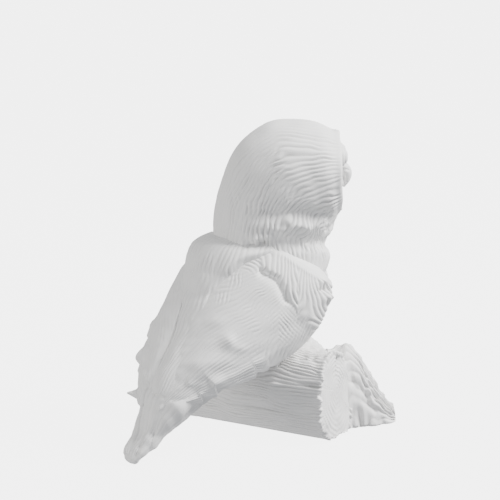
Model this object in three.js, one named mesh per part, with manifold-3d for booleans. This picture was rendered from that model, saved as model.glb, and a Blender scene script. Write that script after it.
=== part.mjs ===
/**
 * A cast owl figurine: a large-headed owl perched across a short log, looking over its right shoulder.
 * The owl faces -Y with its middle plane at x = 0, +Z is up, and the origin is on the ground under the
 * middle of the log. Sizes are millimetres. Profile tables give "forward" distances, which are -y.
 */
import * as THREE from 'three';
import { LoftGeometry } from 'three/addons/geometries/LoftGeometry.js';
import { mergeVertices } from 'three/addons/utils/BufferGeometryUtils.js';
import Module from 'manifold-3d';

// Driving dimensions
const GLUE_GAP = 0.35;                 // clearance left between two castings that touch
const HEAD_TURN = -45;                 // degrees, the head looks to the owl's right
const HEAD_PIVOT = 4;                  // y of the vertical neck axis
const LOG_TURN = 12;                   // degrees between the log's axis and the owl's left-right axis
const LOG = { halfWidth: 28, top: 60, centre: 28.5, nearEnd: -57, farEnd: 78, cutLean: 5, cutSkew: 3 };
const FELT = { thickness: 1.5, halfWidth: 10, from: -47, to: 69 };
const BALLAST = { width: 14, height: 12, from: -36, to: 58 };
const STUB = { start: [-34, -22], heading: [-0.717, -0.697], floor: 0.6 };
const STANCE = { x: 17, y: -11 };      // leg centre lines
const ROD = { radius: 2, bottom: 28, top: 104 };
const NECK_DOWEL = { radius: 4, bottom: 96, top: 166 };
const PIN_RADIUS = 1.5;
const EYE = { radius: 7.6, x: 14.5, z: 198, forward: 45 };
const DISC = { halfWidth: 36.5, halfHeight: 24, height: 186, back: 41, lean: -1.6 };

// Rows of a body profile: belly edge forward and height, back edge forward and height, half-width
const HEAD_ROWS = [
  [46.5, 159, 45, 213, 41], [42.5, 151, 32, 219.5, 45.5], [39.5, 145.5, 14, 222, 47],
  [38.5, 141.5, -4, 219.5, 47.5], [38, 137, -20, 208, 47.5], [38, 133, -32, 191, 47],
  [39, 129, -39, 171, 46], [40, 124, -42, 153, 45.5], [39.5, 118, -42, 139, 44.5],
  [36, 113, -38, 129, 41.5], [29, 111, -30, 126, 34],
];
const BODY_ROWS = [
  [26, 124, -36, 136, 36], [35, 114, -50, 130, 43], [38, 104, -60, 118, 46], [34, 91, -67, 105, 46],
  [27, 79, -73, 94, 45], [14, 71, -79, 83, 41], [-8, 63, -88, 72, 35], [-35, 50, -97, 61, 27],
  [-58, 38, -105, 51, 20], [-72, 31, -110, 43, 16],
];
const TAIL_ROWS = [
  [-66, 38, -82, 57, 15], [-83, 29, -96, 46, 15.5], [-99.5, 22, -109, 34, 14],
  [-113.5, 13, -121.5, 22, 12.5], [-125.5, 5, -130, 12, 9.5], [-132, -0.6, -135, 5, 6],
];
// Rows of a wing: lower edge x, forward, height; upper edge x, forward, height; outward bulge
const WING_ROWS = [
  [39, 15, 106, 37, 9, 116, 4], [42, 12, 92, 38, -5, 133, 11], [43, 1, 77, 34, -26, 139, 18],
  [42, -15, 66, 25, -46, 133, 21], [40, -35, 58, 15, -62, 119, 21.5], [37, -54, 51, 9, -78, 100, 20],
  [32, -74, 45, 5, -92, 80, 16.5], [24, -91, 38, 4, -104, 62, 12], [16, -104, 33, 4, -113, 47, 7],
  [9, -114, 31, 5, -118, 37, 3],
];
const WING_SHELL = 15;                 // thickness of a wing at its middle
// Rows of the broken branch stub: distance along it, height of its top, half-width
const STUB_ROWS = [
  [0, 56, 19], [12, 57, 16], [20, 53, 13], [28, 42, 11], [36, 29, 9.5], [44, 17, 7], [51, 8, 3],
];

const wasm = await Module();
wasm.setup();

/** The solid inside a closed geometry, turned outward if its faces point in. */
function solidOf(geometry) {
  const bare = new THREE.BufferGeometry().copy(geometry);
  bare.deleteAttribute('normal');
  bare.deleteAttribute('uv');
  const merged = mergeVertices(bare, 1e-4);
  const at = (vertex) => new THREE.Vector3().fromBufferAttribute(merged.getAttribute('position'), vertex);
  const triangles = [];
  let volume = 0;
  for (let i = 0; i < merged.index.count; i += 3) {
    const corners = [0, 1, 2].map((k) => merged.index.getX(i + k));
    if (new Set(corners).size === 3) {
      triangles.push(corners);
      volume += at(corners[0]).dot(at(corners[1]).cross(at(corners[2])));
    }
  }
  const outward = volume < 0 ? triangles.map(([a, b, c]) => [a, c, b]) : triangles;
  return new wasm.Manifold(new wasm.Mesh({
    numProp: 3,
    vertProperties: new Float32Array(merged.getAttribute('position').array),
    triVerts: new Uint32Array(outward.flat()),
  }));
}

/** The geometry of a solid's largest body. */
function geometryOf(solid) {
  const bodies = solid.decompose().sort((a, b) => b.volume() - a.volume());
  const { vertProperties, triVerts } = bodies[0].getMesh();
  const geometry = new THREE.BufferGeometry();
  geometry.setAttribute('position', new THREE.BufferAttribute(vertProperties, 3));
  geometry.setIndex(new THREE.BufferAttribute(triVerts, 1));
  geometry.computeVertexNormals();
  return geometry;
}

const joined = (solids) => solids.reduce((whole, solid) => whole.add(solid));
const cut = (solid, cutters) => cutters.reduce((left, cutter) => left.subtract(cutter), solid);

/** A smooth curve through points that are evenly spaced in its parameter. */
const through = (points) => new THREE.CatmullRomCurve3(points, false, 'catmullrom', 0.5);

const middleOf = (section) => (
  section.reduce((sum, corner) => sum.add(corner), new THREE.Vector3()).divideScalar(section.length)
);

/** A capped loft through sections, which are turned round if they wind against its direction. */
function loft(sections) {
  const along = middleOf(sections.at(-1)).sub(middleOf(sections[0]));
  const facing = new THREE.Vector3();
  sections[0].forEach((corner, i, ring) => facing.add(corner.clone().cross(ring[(i + 1) % ring.length])));
  const wound = facing.dot(along) > 0 ? sections : sections.map((section) => [...section].reverse());
  return new LoftGeometry(wound, { capStart: true, capEnd: true });
}

/** Sections whose first and last are pushed out along the loft by a clearance. */
function withClearEnds(sections, grow) {
  const push = (end, next) => {
    const step = middleOf(end).sub(middleOf(next)).setLength(grow);
    end.forEach((corner) => corner.add(step));
  };
  push(sections[0], sections[1]);
  push(sections.at(-1), sections.at(-2));
  return sections;
}

/** A loft between a belly edge and a back edge, with superellipse sections of the given power. */
function railLoft(rows, { stations, sides, power = 2, grow = 0 }) {
  const belly = through(rows.map(([y, z, , , half]) => new THREE.Vector3(half, -y, z)));
  const back = through(rows.map(([, , y, z, half]) => new THREE.Vector3(half, -y, z)));
  const rounded = (value) => Math.sign(value) * Math.abs(value) ** (2 / power);
  const sections = Array.from({ length: stations }, (_, i) => {
    const low = belly.getPoint(i / (stations - 1));
    const high = back.getPoint(i / (stations - 1));
    const half = low.x + grow;
    const across = high.clone().sub(low).setX(0);
    const reach = across.length() / 2 + grow;
    const centre = low.clone().add(high).multiplyScalar(0.5);
    across.normalize();
    return Array.from({ length: sides }, (_, j) => {
      const angle = (2 * Math.PI * j) / sides;
      const point = centre.clone().addScaledVector(across, reach * rounded(Math.sin(angle)));
      return point.setX(half * rounded(Math.cos(angle)));
    });
  });
  return loft(grow > 0 ? withClearEnds(sections, grow) : sections);
}

/** A round tube along a smooth curve, with its radius running smoothly through a list. */
function taperedTube(points, radii, { stations = 9, sides = 10, grow = 0 } = {}) {
  const path = through(points);
  const width = through(radii.map((radius) => new THREE.Vector3(radius, 0, 0)));
  const frames = path.computeFrenetFrames(stations - 1);
  const sections = Array.from({ length: stations }, (_, i) => {
    const centre = path.getPointAt(i / (stations - 1));
    const radius = width.getPoint(i / (stations - 1)).x + grow;
    return Array.from({ length: sides }, (_, j) => {
      const angle = (2 * Math.PI * j) / sides;
      return centre.clone()
        .addScaledVector(frames.normals[i], radius * Math.cos(angle))
        .addScaledVector(frames.binormals[i], radius * Math.sin(angle));
    });
  });
  return loft(grow > 0 ? withClearEnds(sections, grow) : sections);
}

/** A cylinder from one point to another. */
function rod(from, to, radius, grow = 0) {
  const axis = to.clone().sub(from);
  const cylinder = new THREE.CylinderGeometry(radius + grow, radius + grow, axis.length() + 2 * grow, 12);
  const up = new THREE.Vector3(0, 1, 0);
  cylinder.applyQuaternion(new THREE.Quaternion().setFromUnitVectors(up, axis.normalize()));
  const middle = from.clone().add(to).multiplyScalar(0.5);
  return cylinder.translate(middle.x, middle.y, middle.z);
}

/** One wing: a curved shell whose outer face bulges between its lower and upper edges. */
function wingShell(side, grow = 0) {
  const lower = through(WING_ROWS.map(([x, f, z]) => new THREE.Vector3(x, -f, z)));
  const upper = through(WING_ROWS.map(([, , , x, f, z]) => new THREE.Vector3(x, -f, z)));
  const bulge = through(WING_ROWS.map((row) => new THREE.Vector3(row[6], 0, 0)));
  const middle = (t) => lower.getPoint(t).add(upper.getPoint(t)).multiplyScalar(0.5);
  const stations = 20;
  const steps = 8;
  const sections = Array.from({ length: stations }, (_, i) => {
    const t = i / (stations - 1);
    const low = lower.getPoint(t);
    const chord = upper.getPoint(t).sub(low);
    const run = middle(Math.min(t + 0.02, 1)).sub(middle(Math.max(t - 0.02, 0)));
    const outward = new THREE.Vector3().crossVectors(run, chord).normalize();
    outward.multiplyScalar(Math.sign(outward.x));
    const proud = bulge.getPoint(t).x;
    const skin = Math.min(WING_SHELL, 0.9 * proud);
    const face = (s, height) => low.clone().addScaledVector(chord, s)
      .addScaledVector(outward, height * Math.sin(Math.PI * s) ** 0.75);
    const outer = Array.from({ length: steps + 1 }, (_, j) => face(j / steps, proud + grow));
    const inner = Array.from(
      { length: steps - 1 },
      (_, j) => face(1 - (j + 1) / steps, proud - skin - grow),
    );
    return [...outer, ...inner].map((point) => point.setX(side * point.x));
  });
  return loft(sections);
}

/** The round log, flattened underneath, with both ends sawn off at a slant. */
function logBlock(grow = 0, floor = FELT.thickness + GLUE_GAP) {
  const stations = 7;
  const sides = 32;
  const reach = LOG.top - LOG.centre;
  return loft(Array.from({ length: stations }, (_, i) => Array.from({ length: sides }, (_, j) => {
    const angle = (2 * Math.PI * j) / sides;
    const y = (LOG.halfWidth + grow) * Math.cos(angle);
    const z = Math.max(LOG.centre + (reach + grow) * Math.sin(angle), floor);
    const sawn = LOG.nearEnd + LOG.cutLean * (z / LOG.top) - LOG.cutSkew * (y / LOG.halfWidth);
    return new THREE.Vector3(THREE.MathUtils.lerp(sawn, LOG.farEnd, i / (stations - 1)), y, z);
  })));
}

/** The broken branch stub: a wedge with a rounded top that fans down to the ground. */
function stubBlock() {
  const heading = new THREE.Vector3(...STUB.heading, 0).normalize();
  const sideways = new THREE.Vector3(-heading.y, heading.x, 0);
  const profile = through(STUB_ROWS.map(([along, top, half]) => new THREE.Vector3(along, top, half)));
  const stations = 11;
  const arc = 12;
  return loft(Array.from({ length: stations }, (_, i) => {
    const { x: along, y: top, z: half } = profile.getPoint(i / (stations - 1));
    const foot = new THREE.Vector3(...STUB.start, STUB.floor).addScaledVector(heading, along);
    return Array.from({ length: arc + 1 }, (_, j) => {
      const angle = (Math.PI * j) / arc;
      const point = foot.clone().addScaledVector(sideways, half * Math.cos(angle));
      return point.setZ(STUB.floor + (top - STUB.floor) * Math.sin(angle) ** 0.7);
    });
  }));
}

/** A point a given height above the log's bark, at an angle round from the top towards the owl's front. */
function onBark(along, degrees, height) {
  const angle = THREE.MathUtils.degToRad(degrees);
  const reach = LOG.top - LOG.centre;
  const y = -(LOG.halfWidth + height) * Math.sin(angle);
  return new THREE.Vector3(along, y, LOG.centre + (reach + height) * Math.cos(angle));
}

/** One foot: three front toes and a hind toe that grip the log, each ending in a hooked claw. */
function footGrip(ankle, grow = 0) {
  const palm = new THREE.SphereGeometry(8.5 + grow, 12, 8).scale(1, 1, 0.8);
  palm.translate(ankle.x, ankle.y, ankle.z - 1);
  const palmAngle = 22;
  const toe = (spread, from, to, curl) => {
    const points = [0, 0.35, 0.7, 1].map((t) => onBark(
      ankle.x + spread * t,
      THREE.MathUtils.lerp(from, to, t),
      4.2 - 1.6 * t,
    ));
    points.push(onBark(ankle.x + spread * 1.08, to + curl * 0.6, 3.4));
    points.push(onBark(ankle.x + spread * 1.12, to + curl, 1.2));
    return solidOf(taperedTube(points, [6, 5.6, 5, 4.4, 2.6, 0.7], { stations: 9, sides: 8, grow }));
  };
  return joined([
    solidOf(palm),
    toe(-11, palmAngle, 56, 14),
    toe(0, palmAngle, 62, 14),
    toe(11, palmAngle, 56, 14),
    toe(0, palmAngle, -34, -14),
  ]);
}

/** One feathered leg, round in plan, from inside the belly down to the ankle. */
function featheredLeg(x, bottom, grow = 0) {
  const outline = [[7, bottom], [8.4, bottom + 3], [9.6, bottom + 8], [11, bottom + 15], [12, bottom + 26]];
  const profile = outline.map(([radius, z]) => new THREE.Vector2(radius + grow, z));
  profile.unshift(new THREE.Vector2(0, bottom - grow), new THREE.Vector2(7 + grow, bottom - grow));
  profile.push(new THREE.Vector2(0, bottom + 26));
  return new THREE.LatheGeometry(profile, 16).rotateX(Math.PI / 2).translate(x, STANCE.y, 0);
}

/** The facial disc: an oval plate with a raised rim, a shallow valley inside it and a ridge down its dome. */
function facePlate() {
  const outline = [
    [0, 0], [0.92, 0], [1, 2], [0.97, 4.4], [0.9, 5], [0.81, 4], [0.7, 3.4], [0.54, 4.6],
    [0.32, 7.4], [0.13, 9], [0, 9.4],
  ].map(([share, height]) => new THREE.Vector2(share * DISC.halfWidth, height));
  const plate = new THREE.LatheGeometry(outline, 32).scale(1, 1, DISC.halfHeight / DISC.halfWidth);
  const ridge = new THREE.SphereGeometry(1, 12, 8).scale(4, 5, 20).translate(0, 6.4, 0);
  return joined([plate, ridge].map(solidOf));
}

/** An oval cutter for the pocket that the facial disc sits in. */
function facePocket() {
  const radius = DISC.halfWidth + GLUE_GAP;
  return new THREE.CylinderGeometry(radius, radius, 20, 32)
    .scale(1, 1, (DISC.halfHeight + GLUE_GAP) / radius).translate(0, 10 - GLUE_GAP, 0);
}

/** The placement of the face: its own +Y points out of the face, and its own -Z points up the head. */
function facePlacement() {
  const tilt = Math.PI + THREE.MathUtils.degToRad(DISC.lean);
  return new THREE.Matrix4().makeTranslation(0, -DISC.back, DISC.height)
    .multiply(new THREE.Matrix4().makeRotationX(tilt));
}

const resin = { color: 0xe6e3df, roughness: 0.82, metalness: 0 };
const steel = { color: 0x9a9da1, roughness: 0.35, metalness: 1 };
const felt = { color: 0x6f7276, roughness: 1, metalness: 0 };

/** Adds a named mesh of a solid or a geometry to a group. */
function place(group, name, shape, finish) {
  const geometry = shape instanceof THREE.BufferGeometry ? shape : geometryOf(shape);
  const mesh = new THREE.Mesh(geometry, new THREE.MeshStandardMaterial(finish));
  mesh.name = name;
  group.add(mesh);
}

const owl = new THREE.Group();
const head = new THREE.Group();
head.position.set(0, HEAD_PIVOT, 0);
head.rotation.z = THREE.MathUtils.degToRad(HEAD_TURN);
const perch = new THREE.Group();
perch.rotation.z = THREE.MathUtils.degToRad(LOG_TURN);
owl.add(head, perch);
owl.updateMatrixWorld(true);

/** A geometry of the owl's frame, copied into a group's own frame. */
const into = (group, geometry) => new THREE.BufferGeometry().copy(geometry)
  .applyMatrix4(group.matrixWorld.clone().invert());
const headCentred = (geometry) => geometry.translate(0, -HEAD_PIVOT, 0);

// Fasteners, as lists of end points in the owl's frame
const legs = [['left', 1], ['right', -1]];
const point = (x, y, z) => new THREE.Vector3(x, y, z);
const legRods = legs.map(([side, sign]) => [
  `leg_rod_${side}`,
  point(sign * STANCE.x, STANCE.y, ROD.bottom),
  point(sign * STANCE.x, STANCE.y, ROD.top),
]);
const neckDowel = [
  'neck_dowel',
  point(0, HEAD_PIVOT, NECK_DOWEL.bottom),
  point(0, HEAD_PIVOT, NECK_DOWEL.top),
];
const wingPins = legs.flatMap(([side, sign]) => [
  [`wing_pin_${side}_front`, point(sign * 38, 14, 106), point(sign * 51, 14, 106)],
  [`wing_pin_${side}_rear`, point(sign * 29, 50, 84), point(sign * 43, 50, 84)],
]);
const tailPins = legs.map(([side, sign]) => [
  `tail_pin_${side}`, point(sign * 6, 83, 46), point(sign * 6, 97, 29),
]);
const rodOf = ([, from, to], radius, grow) => rod(from, to, radius, grow);
const rodHoles = legRods.map((each) => rodOf(each, ROD.radius, 0.3));
const neckHole = rodOf(neckDowel, NECK_DOWEL.radius, 0.3);
const wingPinHoles = wingPins.map((each) => rodOf(each, PIN_RADIUS, 0.3));
const tailPinHoles = tailPins.map((each) => rodOf(each, PIN_RADIUS, 0.3));

// The owl's body, which every other casting fits against
const bodyShape = { stations: 19, sides: 26 };
const bodyClear = railLoft(BODY_ROWS, { ...bodyShape, grow: GLUE_GAP });
place(owl, 'body_casting', cut(
  solidOf(railLoft(BODY_ROWS, bodyShape)),
  [...rodHoles, neckHole, ...wingPinHoles, ...tailPinHoles].map(solidOf),
), resin);

// The head and what is set into its face
const headShape = { stations: 20, sides: 28 };
const eyes = legs.map(([side, sign]) => {
  const ball = (grow) => new THREE.SphereGeometry(EYE.radius + grow, 14, 10)
    .translate(sign * EYE.x, -EYE.forward, EYE.z);
  return { name: `eye_${side}`, ball: ball(0), socket: ball(GLUE_GAP) };
});
const beakCurve = [[-44.5, 191.5], [-48.5, 189.5], [-51.8, 185.5], [-52.3, 180.5], [-50, 175]]
  .map(([y, z]) => point(0, y, z));
const beakRadii = [2.8, 3.8, 3.6, 2.2, 0.6];
const beak = taperedTube(beakCurve, beakRadii);
const beakClear = taperedTube(beakCurve, beakRadii, { grow: GLUE_GAP });
const sockets = [...eyes.map((eye) => headCentred(eye.socket)), headCentred(beakClear)];
const pocket = headCentred(facePocket().applyMatrix4(facePlacement()));
place(head, 'head_casting', cut(
  solidOf(headCentred(railLoft(HEAD_ROWS, headShape))),
  [...sockets, pocket, into(head, bodyClear), into(head, neckHole)].map(solidOf),
), resin);
const plate = solidOf(headCentred(geometryOf(facePlate()).applyMatrix4(facePlacement())));
place(head, 'facial_disc', cut(plate, sockets.map(solidOf)), resin);
eyes.forEach((eye) => place(head, eye.name, headCentred(eye.ball), resin));
place(head, 'beak', headCentred(beak), resin);
const headClear = headCentred(railLoft(HEAD_ROWS, { ...headShape, grow: GLUE_GAP }))
  .applyMatrix4(head.matrixWorld);

// The wings, which lie against the body and under the head's collar
legs.forEach(([side, sign]) => place(owl, `wing_${side}`, cut(
  solidOf(wingShell(sign)),
  [bodyClear, headClear, ...wingPinHoles].map(solidOf),
), resin));

// The tail, whose tip stands on the ground
const ground = new THREE.BoxGeometry(80, 80, 20).translate(0, 120, -10);
place(owl, 'tail_casting', cut(
  solidOf(railLoft(TAIL_ROWS, { stations: 12, sides: 20, power: 2.4 })),
  [bodyClear, wingShell(1, 2 * GLUE_GAP), wingShell(-1, 2 * GLUE_GAP), ...tailPinHoles, ground]
    .map(solidOf),
), resin);

// The log, the branch stub beside its sawn end, and what is set into them from below
const heading = point(...STUB.heading, 0).normalize();
const stubPins = [['upper', 36], ['lower', 20]].map(([level, z]) => {
  const inner = point(...STUB.start, z).addScaledVector(heading, -1);
  return [`stub_pin_${level}`, inner, inner.clone().addScaledVector(heading, 18)];
});
const stubPinHoles = stubPins.map((each) => rodOf(each, PIN_RADIUS, 0.3));
const bar = (spec, height, z) => new THREE.BoxGeometry(spec.to - spec.from, 2 * spec.halfWidth, height)
  .translate((spec.from + spec.to) / 2, 0, z + height / 2);
const ballast = { ...BALLAST, halfWidth: BALLAST.width / 2 };
const recess = {
  from: BALLAST.from - GLUE_GAP, to: BALLAST.to + GLUE_GAP, halfWidth: ballast.halfWidth + GLUE_GAP,
};
const underside = FELT.thickness + GLUE_GAP;
const ballastRecess = bar(recess, BALLAST.height + 3 * GLUE_GAP, underside - GLUE_GAP);
place(perch, 'log_casting', cut(
  solidOf(logBlock()),
  [ballastRecess, ...rodHoles.map((hole) => into(perch, hole)), ...stubPinHoles].map(solidOf),
), resin);
place(perch, 'ballast_bar', bar(ballast, BALLAST.height, underside + GLUE_GAP / 2), steel);
place(perch, 'felt_pad', bar(FELT, FELT.thickness, 0), felt);

// The feet that grip the log, the stub that fits round them, and the feathered legs above
const ankles = legs.map(([, sign]) => perch.worldToLocal(point(sign * STANCE.x, STANCE.y, LOG.top + 2)));
const feetClear = ankles.map((ankle) => footGrip(ankle, GLUE_GAP));
place(perch, 'branch_stub', cut(
  solidOf(stubBlock()),
  [...[logBlock(GLUE_GAP, -1), ...stubPinHoles].map(solidOf), ...feetClear],
), resin);
const logClear = solidOf(logBlock(GLUE_GAP));
legs.forEach(([side, sign], i) => {
  const cutters = [bodyClear, rodHoles[i]].map((cutter) => solidOf(into(perch, cutter)));
  place(perch, `foot_${side}`, cut(footGrip(ankles[i]), [logClear, ...cutters]), resin);
  const footClear = geometryOf(feetClear[i]).applyMatrix4(perch.matrixWorld);
  const leg = cut(
    solidOf(featheredLeg(sign * STANCE.x, LOG.top + 3)),
    [bodyClear, footClear, rodHoles[i]].map(solidOf),
  );
  place(owl, `leg_${side}`, leg, resin);
});

// Steel rods, dowel and pins
legRods.forEach((each) => place(owl, each[0], rodOf(each, ROD.radius), steel));
place(owl, neckDowel[0], rodOf(neckDowel, NECK_DOWEL.radius), steel);
[...wingPins, ...tailPins].forEach((each) => place(owl, each[0], rodOf(each, PIN_RADIUS), steel));
stubPins.forEach((each) => place(perch, each[0], rodOf(each, PIN_RADIUS), steel));

export default owl;
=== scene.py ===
from itertools import product

import bpy
import numpy as np
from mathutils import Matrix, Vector


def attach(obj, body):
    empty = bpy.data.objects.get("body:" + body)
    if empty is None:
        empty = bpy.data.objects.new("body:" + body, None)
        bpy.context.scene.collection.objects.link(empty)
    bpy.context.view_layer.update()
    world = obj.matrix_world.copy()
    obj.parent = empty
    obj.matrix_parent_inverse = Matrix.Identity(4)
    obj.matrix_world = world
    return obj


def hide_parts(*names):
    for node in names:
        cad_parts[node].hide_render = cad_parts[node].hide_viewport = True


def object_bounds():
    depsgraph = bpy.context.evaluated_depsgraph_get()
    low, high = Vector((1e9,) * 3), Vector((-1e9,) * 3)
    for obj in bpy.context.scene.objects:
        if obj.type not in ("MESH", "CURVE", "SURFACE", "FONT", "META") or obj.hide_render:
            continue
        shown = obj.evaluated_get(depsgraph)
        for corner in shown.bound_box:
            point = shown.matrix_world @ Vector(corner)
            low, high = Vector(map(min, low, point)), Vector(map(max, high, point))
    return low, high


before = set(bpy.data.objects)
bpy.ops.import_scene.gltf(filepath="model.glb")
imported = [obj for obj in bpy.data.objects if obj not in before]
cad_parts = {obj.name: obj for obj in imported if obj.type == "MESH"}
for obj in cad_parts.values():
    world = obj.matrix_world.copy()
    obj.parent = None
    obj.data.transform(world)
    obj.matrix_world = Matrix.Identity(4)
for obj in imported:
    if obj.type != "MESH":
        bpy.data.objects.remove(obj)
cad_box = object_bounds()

# ---------------------------------------------------------------------------------------------
# Shape of the casting, in millimetres, in the same rows that the frame was built from. "Forward" is -y.
# ---------------------------------------------------------------------------------------------
MM = 0.001
HEAD_TURN, HEAD_PIVOT = -45.0, 4.0
LOG_TURN = 12.0
LOG = dict(half_width=28.0, top=60.0, centre=28.5, near_end=-57.0, far_end=78.0, lean=5.0, skew=3.0,
           floor=1.85)
STUB = dict(start=(-34.0, -22.0), heading=(-0.717, -0.697), floor=0.6)
STANCE = (17.0, -11.0)
EYE = dict(radius=7.6, x=14.5, z=198.0, forward=45.0)
DISC = dict(half_width=36.5, half_height=24.0, height=186.0, back=41.0, lean=-1.6)

# Belly edge forward and height, back edge forward and height, half-width
HEAD_ROWS = [
    (46.5, 159, 45, 213, 41), (42.5, 151, 32, 219.5, 45.5), (39.5, 145.5, 14, 222, 47),
    (38.5, 141.5, -4, 219.5, 47.5), (38, 137, -20, 208, 47.5), (38, 133, -32, 191, 47),
    (39, 129, -39, 171, 46), (40, 124, -42, 153, 45.5), (39.5, 118, -42, 139, 44.5),
    (36, 113, -38, 129, 41.5), (29, 111, -30, 126, 34)]
BODY_ROWS = [
    (26, 124, -36, 136, 36), (35, 114, -50, 130, 43), (38, 104, -60, 118, 46), (34, 91, -67, 105, 46),
    (27, 79, -73, 94, 45), (14, 71, -79, 83, 41), (-8, 63, -88, 72, 35), (-35, 50, -97, 61, 27),
    (-58, 38, -105, 51, 20), (-72, 31, -110, 43, 16)]
TAIL_ROWS = [
    (-66, 38, -82, 57, 15), (-83, 29, -96, 46, 15.5), (-99.5, 22, -109, 34, 14),
    (-113.5, 13, -121.5, 22, 12.5), (-125.5, 5, -130, 12, 9.5), (-132, 0.4, -135, 5, 6)]
# Lower edge x, forward, height; upper edge x, forward, height; outward bulge
WING_ROWS = [
    (39, 15, 106, 37, 9, 116, 4), (42, 12, 92, 38, -5, 133, 11), (43, 1, 77, 34, -26, 139, 18),
    (42, -15, 66, 25, -46, 133, 21), (40, -35, 58, 15, -62, 119, 21.5), (37, -54, 51, 9, -78, 100, 20),
    (32, -74, 45, 5, -92, 80, 16.5), (24, -91, 38, 4, -104, 62, 12), (16, -104, 33, 4, -113, 47, 7),
    (9, -114, 31, 5, -118, 37, 3)]
# Distance along the stub, height of its top, half-width
STUB_ROWS = [(0, 56, 19), (12, 57, 16), (20, 53, 13), (28, 42, 11), (36, 29, 9.5), (44, 17, 7), (51, 8, 3)]
# The flat map of a side looks across at 45 degrees and down at 10.5: the cosine of the first, the cosine of the
# second, its sine times the first cosine, its sine, and the height that counts as 0
ACROSS, RISE, DROP, HEAD_DROP, MAP_HEIGHT = 0.7071, 0.983, 0.1287, 0.182, 100
# On that map: the crease behind the wrist pad, and the line of the mantle's edge
CREASE = [(-6, 13), (-1.5, 11), (3.5, 8), (7.5, 2), (11, -6)]
MANTLE = [(-60, 26), (-32, 28), (-12, 30.5), (1, 30.5), (9, 26.5), (17.5, 20.5), (26, 15), (35, 9.5),
          (60, -6)]

# Camera, floor and lights, in degrees, metres and watts
CAMERA = dict(azimuth=225.0, elevation=10.5, distance=1.290, lens=130, sensor=36, aim_height=0.100,
              shift_left=0.0146, shift_up=0.0284)
FLOOR = dict(half_size=40.0, drop=0.0004, glow=5.2)
WORLD_LIGHT = 0.62


# ---------------------------------------------------------------------------------------------
# Numpy tools
# ---------------------------------------------------------------------------------------------
def smooth(x, low, high):
    """An eased step from 0 at low to 1 at high."""
    t = np.clip((x - low) / (high - low), 0, 1)
    return t * t * (3 - 2 * t)


def hill(x, centre, width):
    """A bell curve of height 1."""
    return np.exp(-((x - centre) / width) ** 2)


def through(rows, t):
    """A Catmull-Rom curve through equally spaced rows, read at t from 0 to 1: cubic Hermite pieces with
    central slopes."""
    rows = np.asarray(rows, float)
    slope = np.gradient(rows, axis=0)
    place = np.clip(np.asarray(t, float), 0, 1) * (len(rows) - 1)
    i = np.minimum(place.astype(int), len(rows) - 2)
    w = (place - i)[:, None]
    return ((2 * w**3 - 3 * w**2 + 1) * rows[i] + (w**3 - 2 * w**2 + w) * slope[i]
            + (3 * w**2 - 2 * w**3) * rows[i + 1] + (w**3 - w**2) * slope[i + 1])


def noise(where, seed):
    """Smooth value noise from -1 to 1: hashed numbers on a cubic lattice, blended by eased weights."""
    cell = np.floor(where).astype(np.int64)
    w = where - cell
    w = w * w * (3 - 2 * w)
    total = 0.0
    for corner in product((0, 1), repeat=3):
        c = (cell + corner) & 0xFFFF
        mix = (c[..., 0] * 73856093) ^ (c[..., 1] * 19349663) ^ (c[..., 2] * 83492791) ^ (seed * 26544357)
        mix = ((mix ^ (mix >> 13)) * 1274126177) & 0xFFFFFFFF
        value = ((mix ^ (mix >> 16)) & 0xFFFF) / 32767.5 - 1
        total = total + value * np.prod(np.where(corner, w, 1 - w), axis=-1)
    return total


def strokes(across, where, seed, wander=0.7, even=0.5):
    """Carved strokes: rounded ridges parted by narrow grooves, from a distance across counted in stroke
    widths. The lines wander with slow noise, and a second noise, stretched along them, fades each one in and
    out."""
    drift = wander * noise(where * (0.21, 0.21, 0.55), seed) + 0.34 * noise(where * (0.7, 0.7, 1.5), seed + 1)
    groove = np.abs(np.cos(np.pi * (across + drift)))
    life = smooth(noise(where * (0.75, 0.75, 0.8), seed + 2), -0.5, 0.35)
    return (2 * groove**1.25 - 1.1) * (even + (1 - even) * life)


def side_view(x, forward, z):
    """A flat map of one side of the owl: millimetres towards its front, and up from the middle of its back,
    in a plane square to a slightly downward look from behind that shoulder. x is counted outward."""
    return ACROSS * (x + forward), RISE * (z - MAP_HEIGHT) - DROP * (x - forward)


def spot(a, b, at, radii):
    """A bell at a place of a flat map, with its two radii."""
    return np.exp(-((a - at[0]) / radii[0]) ** 2 - ((b - at[1]) / radii[1]) ** 2)


def patch(a, b, at, radii):
    """A flat-topped spot: the same with fourth powers."""
    return np.exp(-((a - at[0]) / radii[0]) ** 4 - ((b - at[1]) / radii[1]) ** 4)


def map_place(a, b, cell, level=0.0):
    """Noise coordinates on a flat map: both distances counted in cells, and a level to cut the noise at."""
    return np.stack([a / cell, b / cell, 0 * a + level], -1)


def line_distance(a, b, points):
    """The distance of each place of a flat map from a chain of straight segments."""
    best = np.full(a.shape, 1e9)
    for (a0, b0), (a1, b1) in zip(points[:-1], points[1:]):
        run_a, run_b = a1 - a0, b1 - b0
        share = np.clip(((a - a0) * run_a + (b - b0) * run_b) / (run_a**2 + run_b**2), 0, 1)
        best = np.minimum(best, np.hypot(a - a0 - share * run_a, b - b0 - share * run_b))
    return best


def ring_place(columns, count, along):
    """Noise coordinates on a closed loft: a circle whose circumference is the stroke count, and the run along
    it."""
    angle = 2 * np.pi * np.arange(columns) / columns
    radius = count / (2 * np.pi)
    parts = np.broadcast_arrays(radius * np.cos(angle), radius * np.sin(angle), along)
    return np.stack(parts, -1)


def grid_normals(grid):
    """Unit normals of a grid that closes round its columns, turned away from each row's middle."""
    run = np.gradient(grid, axis=0)
    round_ = np.roll(grid, -1, 1) - np.roll(grid, 1, 1)
    normal = np.cross(round_, run)
    normal /= np.linalg.norm(normal, axis=-1, keepdims=True) + 1e-9
    outward = (normal * (grid - grid.mean(axis=1, keepdims=True))).sum()
    return normal * np.sign(outward)


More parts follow.
